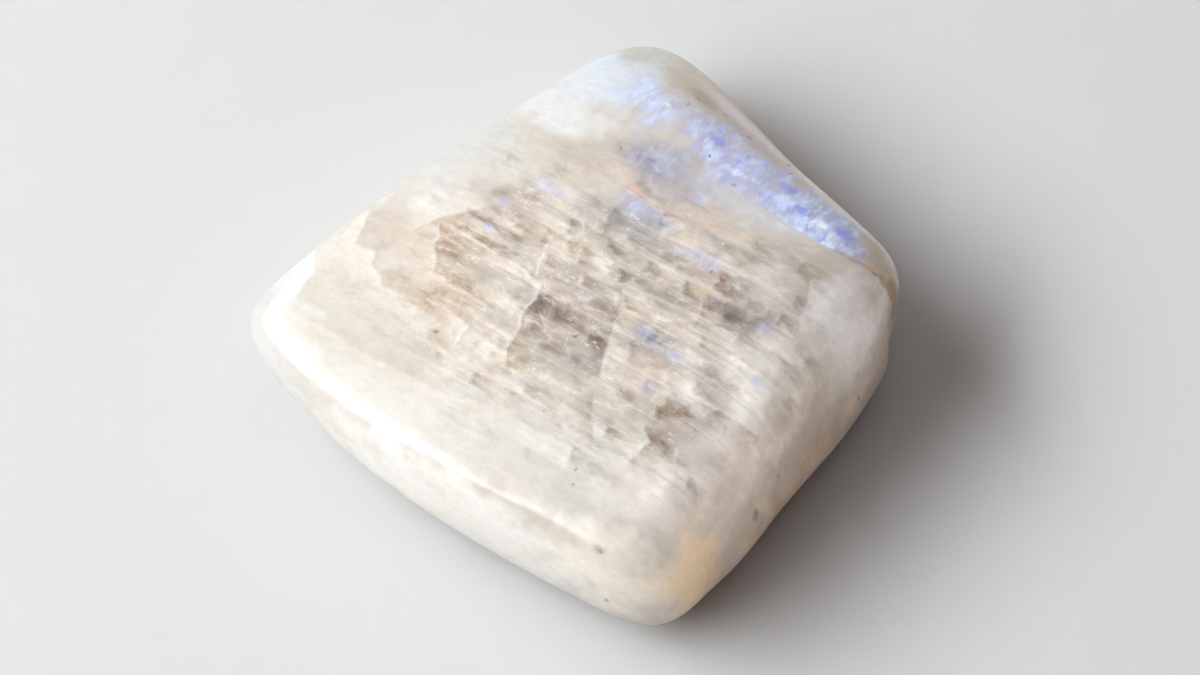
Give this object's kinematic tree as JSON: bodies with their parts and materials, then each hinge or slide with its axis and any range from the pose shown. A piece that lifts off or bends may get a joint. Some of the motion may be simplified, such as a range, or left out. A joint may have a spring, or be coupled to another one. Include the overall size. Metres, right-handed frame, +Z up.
{
  "type": "tumbled moonstone",
  "caption": "Flat tumbled moonstone pebble, a rounded square cushion with worn rims, a chipped corner and a small flat resting spot.",
  "frame": {"origin": "on the ground, under the middle of the stone's bounding box", "axes": "+Z up with the stone lying on its flat underside; +X to the chipped thick corner, +Y to the far corner, along the longer diagonal"},
  "size_m": [0.0352, 0.0362, 0.0097],
  "materials": {
    "moonstone": "tumbled and polished, milky cream to grey-brown with layered cleavage bands, a blue-violet sheen along the back right rim and an ochre front corner"
  },
  "bodies": {
    "root": {"moonstone": "moonstone"}
  },
  "joints": []
}
